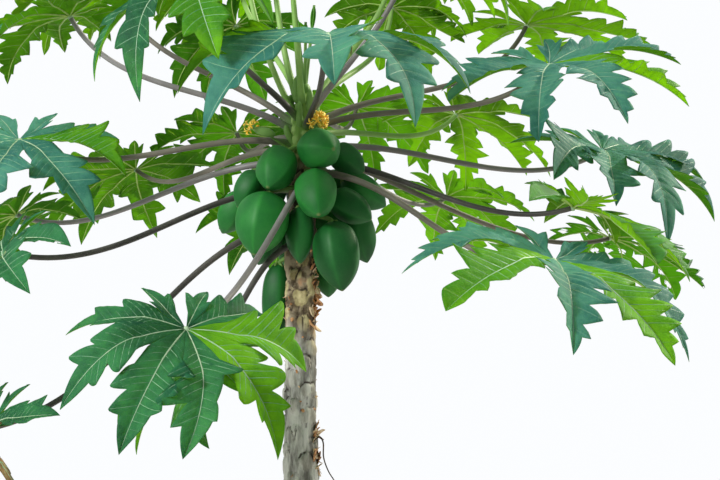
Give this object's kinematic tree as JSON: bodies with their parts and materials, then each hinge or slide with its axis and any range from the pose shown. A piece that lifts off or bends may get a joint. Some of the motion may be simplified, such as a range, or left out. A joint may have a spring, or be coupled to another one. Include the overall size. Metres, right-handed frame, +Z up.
{
  "type": "papaya tree",
  "caption": "Young fruiting papaya tree with one straight flared trunk, green fruits hanging close round it and a full crown of long-stalked lobed leaves.",
  "frame": {"origin": "middle of the flat cut under the trunk at ground level", "axes": "+Z up along the trunk, -Y towards the side that the picture shows, +X to that view's right"},
  "size_m": [2.1487, 1.8753, 2.5638],
  "materials": {
    "bark": "rough grey-tan bark with leaf scars",
    "leaf": "satin leaf, dark blue-green above and brighter yellow-green below",
    "young_leaf": "satin pale yellow-green",
    "fruit": "smooth waxy unripe green skin",
    "flower": "soft matt yellow-orange petals"
  },
  "bodies": {
    "root": {"trunk": "bark", "growing_tip": "young_leaf", "leaf_front_low": "leaf", "leaf_front_low_inner": "leaf", "leaf_front_top": "leaf", "leaf_front_right": "leaf", "leaf_front_left_bottom": "leaf", "leaf_front_left_top": "leaf", "leaf_left_front": "leaf", "leaf_left_front_top": "leaf", "leaf_left": "leaf", "leaf_left_rear": "leaf", "leaf_left_rear_low": "leaf", "leaf_left_rear_top": "leaf", "leaf_right": "leaf", "leaf_right_front": "leaf", "leaf_right_front_low": "leaf", "leaf_right_rear_top": "leaf", "leaf_right_rear": "leaf", "leaf_right_rear_low": "leaf", "leaf_top_right": "leaf", "leaf_rear_left": "leaf", "leaf_rear_low": "leaf", "leaf_rear_right_low": "leaf", "leaf_rear": "leaf", "leaf_rear_right_top": "leaf", "leaf_rear_top": "leaf", "leaf_rear_high": "leaf", "leaf_right_rear_high": "leaf", "young_leaf_front": "young_leaf", "young_leaf_rear": "young_leaf", "young_leaf_left": "young_leaf", "fruit_01": "fruit", "fruit_02": "fruit", "fruit_03": "fruit", "fruit_04": "fruit", "fruit_05": "fruit", "fruit_06": "fruit", "fruit_07": "fruit", "fruit_08": "fruit", "fruit_09": "fruit", "fruit_10": "fruit", "fruit_11": "fruit", "fruit_12": "fruit", "fruit_13": "fruit", "fruit_14": "fruit", "fruit_15": "fruit", "fruit_16": "fruit", "fruit_17": "fruit", "fruit_18": "fruit", "fruit_19": "fruit", "fruit_20": "fruit", "flowers_front": "flower", "flowers_left": "flower"}
  },
  "joints": []
}
